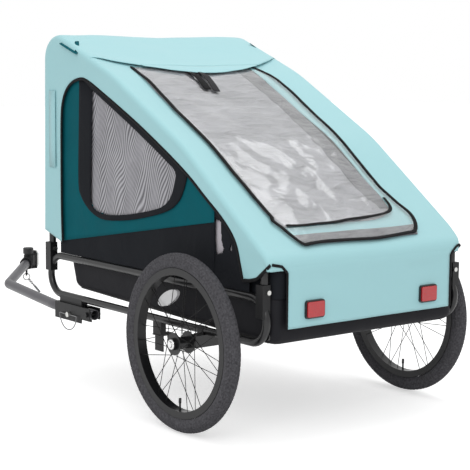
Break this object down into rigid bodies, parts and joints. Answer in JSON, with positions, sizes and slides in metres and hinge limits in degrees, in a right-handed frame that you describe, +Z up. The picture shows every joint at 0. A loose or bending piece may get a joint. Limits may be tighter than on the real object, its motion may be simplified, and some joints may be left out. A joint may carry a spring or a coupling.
{
  "type": "child bicycle trailer",
  "caption": "Enclosed child bicycle trailer: sloping fabric cover on fold-down side hoops, tube chassis, spoked wheels and a bent side tow bar with a swivelling axle hitch.",
  "frame": {"origin": "on the ground, under the middle of the whole trailer's box, tow bar included", "axes": "+X to the trailer's right, +Y forward along the tow bar, +Z up"},
  "size_m": [0.95, 1.7828, 1.0941],
  "materials": {
    "cover_cloth": "coated woven cloth, light teal, soft sheen",
    "panel_cloth": "dark teal woven cloth",
    "black_cloth": "black woven nylon",
    "tub_cloth": "black coated tub cloth",
    "window_mesh": "fine grey insect mesh, slightly glossy",
    "webbing": "black webbing",
    "seat_cloth": "dark grey padded cloth",
    "frame_paint": "black powder coat",
    "bar_paint": "dark gunmetal paint, satin",
    "bracket_paint": "black powder coat, satin",
    "bright_steel": "zinc plated steel",
    "alloy": "satin alloy",
    "tyre": "charcoal rubber, moulded tread",
    "rim_plastic": "black moulded rim",
    "spoke_steel": "black coated spokes",
    "hub_shell": "black hub shell, satin",
    "reflector_white": "clear prismatic reflector",
    "reflector_red": "red prismatic reflector",
    "black_plastic": "black moulded plastic",
    "button_chrome": "polished cap",
    "button_red": "red press button",
    "floor_board": "black textured board"
  },
  "bodies": {
    "chassis": {"left_base_loop": "frame_paint", "right_base_loop": "frame_paint", "cross_tubes": "frame_paint", "axle_beam": "frame_paint", "axle_clamps": "bracket_paint", "axle_stubs": "bright_steel", "hinge_brackets": "bracket_paint", "hinge_bolts": "bright_steel", "tow_bracket": "bracket_paint", "tow_pivot_bolt": "bright_steel", "storage_clip": "bracket_paint", "tub": "tub_cloth", "floor_panel": "floor_board", "seat_cushion": "seat_cloth", "seat_back": "seat_cloth", "harness_straps": "webbing", "left_buckle": "black_plastic", "right_buckle": "black_plastic", "canopy_cover": "cover_cloth", "left_side_panel": "panel_cloth", "right_side_panel": "panel_cloth", "left_window_mesh": "window_mesh", "right_window_mesh": "window_mesh", "reflector_housings": "black_plastic", "reflector_lenses": "reflector_red"},
    "left_side": {"left_hoop": "frame_paint"},
    "right_side": {"right_hoop": "frame_paint"},
    "left_link": {"left_spreader_link": "alloy", "elbow_pin": "bright_steel"},
    "right_link": {"right_spreader_link": "alloy"},
    "bar": {"tow_bar": "bar_paint", "hitch_socket": "bracket_paint", "swivel_pin": "black_plastic", "safety_strap": "webbing", "strap_ring": "bright_steel", "chain_links": "bright_steel", "hitch_pin": "bright_steel"},
    "lock": {"lock_plunger": "bright_steel", "lock_ring": "bright_steel"},
    "yoke": {"hitch_yoke": "bracket_paint"},
    "coupler": {"axle_plate": "bright_steel"},
    "flap": {"window_flap": "window_mesh", "roll_up_straps": "webbing"},
    "left_wheel": {"left_tyre": "tyre", "left_rim": "rim_plastic", "left_spokes": "spoke_steel", "left_hub": "hub_shell", "left_spoke_reflector": "reflector_white"},
    "left_release": {"left_release_button": "button_chrome"},
    "left_press": {"left_buckle_button": "button_red"},
    "right_wheel": {"right_tyre": "tyre", "right_rim": "rim_plastic", "right_spokes": "spoke_steel", "right_hub": "hub_shell", "right_spoke_reflector": "reflector_white"},
    "right_release": {"right_release_button": "button_chrome"},
    "right_press": {"right_buckle_button": "button_red"}
  },
  "joints": [
    {"name": "right_side_fold", "type": "hinge", "parent": "chassis", "child": "right_side", "pos_m": [0.356, -0.32943, 0.42], "axis": [0, 1, 0], "range_deg": [-88, 0], "deforming": ["canopy_cover", "left_side_panel", "right_side_panel", "left_window_mesh", "right_window_mesh", "seat_back", "harness_straps", "roll_up_straps", "window_flap"]},
    {"name": "left_side_fold", "type": "hinge", "parent": "chassis", "child": "left_side", "pos_m": [-0.356, -0.32943, 0.42], "axis": [0, 1, 0], "range_deg": [0, 77.44]},
    {"name": "left_link_fold", "type": "hinge", "parent": "left_side", "child": "left_link", "pos_m": [-0.336, -0.06443, 0.96882], "axis": [0, 1, 0], "range_deg": [0, 90]},
    {"name": "right_link_fold", "type": "hinge", "parent": "right_side", "child": "right_link", "pos_m": [0.336, -0.04443, 0.96882], "axis": [0, 1, 0], "range_deg": [-90, 0]},
    {"name": "tow_bar_fold", "type": "hinge", "parent": "chassis", "child": "bar", "pos_m": [-0.358, -0.01143, 0.238], "axis": [1, 0, 0], "range_deg": [-176, 0]},
    {"name": "lock_pull", "type": "slide", "parent": "chassis", "child": "lock", "axis": [-1, 0, 0], "range_m": [0, 0.012], "stiffness_N_per_m": 800, "springref_m": -0.006},
    {"name": "hitch_swivel", "type": "hinge", "parent": "bar", "child": "yoke", "pos_m": [-0.06498, 0.87243, 0.2761], "axis": [0, 0, 1], "range_deg": [-50, 90]},
    {"name": "coupler_pitch", "type": "hinge", "parent": "yoke", "child": "coupler", "pos_m": [-0.03248, 0.87243, 0.2991], "axis": [1, 0, 0], "range_deg": [-40, 40]},
    {"name": "window_flap_lift", "type": "hinge", "parent": "chassis", "child": "flap", "pos_m": [0, -0.07943, 1.00514], "axis": [1, 0, 0], "range_deg": [-110, 0]},
    {"name": "left_wheel_spin", "type": "hinge", "parent": "chassis", "child": "left_wheel", "pos_m": [-0.435, -0.57943, 0.25], "axis": [1, 0, 0], "continuous": true},
    {"name": "left_release_press", "type": "slide", "parent": "chassis", "child": "left_release", "axis": [1, 0, 0], "range_m": [0, 0.004], "stiffness_N_per_m": 600, "springref_m": -0.003},
    {"name": "left_buckle_press", "type": "slide", "parent": "chassis", "child": "left_press", "axis": [0, 0, -1], "range_m": [0, 0.0025], "stiffness_N_per_m": 500, "springref_m": -0.002},
    {"name": "right_wheel_spin", "type": "hinge", "parent": "chassis", "child": "right_wheel", "pos_m": [0.435, -0.57943, 0.25], "axis": [1, 0, 0], "continuous": true},
    {"name": "right_release_press", "type": "slide", "parent": "chassis", "child": "right_release", "axis": [-1, 0, 0], "range_m": [0, 0.004], "stiffness_N_per_m": 600, "springref_m": -0.003},
    {"name": "right_buckle_press", "type": "slide", "parent": "chassis", "child": "right_press", "axis": [0, 0, -1], "range_m": [0, 0.0025], "stiffness_N_per_m": 500, "springref_m": -0.002}
  ],
  "couplings": [
    {"joint": "left_side_fold", "follows": "right_side_fold", "ratio": -0.88},
    {"joint": "left_link_fold", "follows": "right_side_fold", "ratio": -1.0227},
    {"joint": "right_link_fold", "follows": "right_side_fold", "ratio": 1.0227}
  ]
}
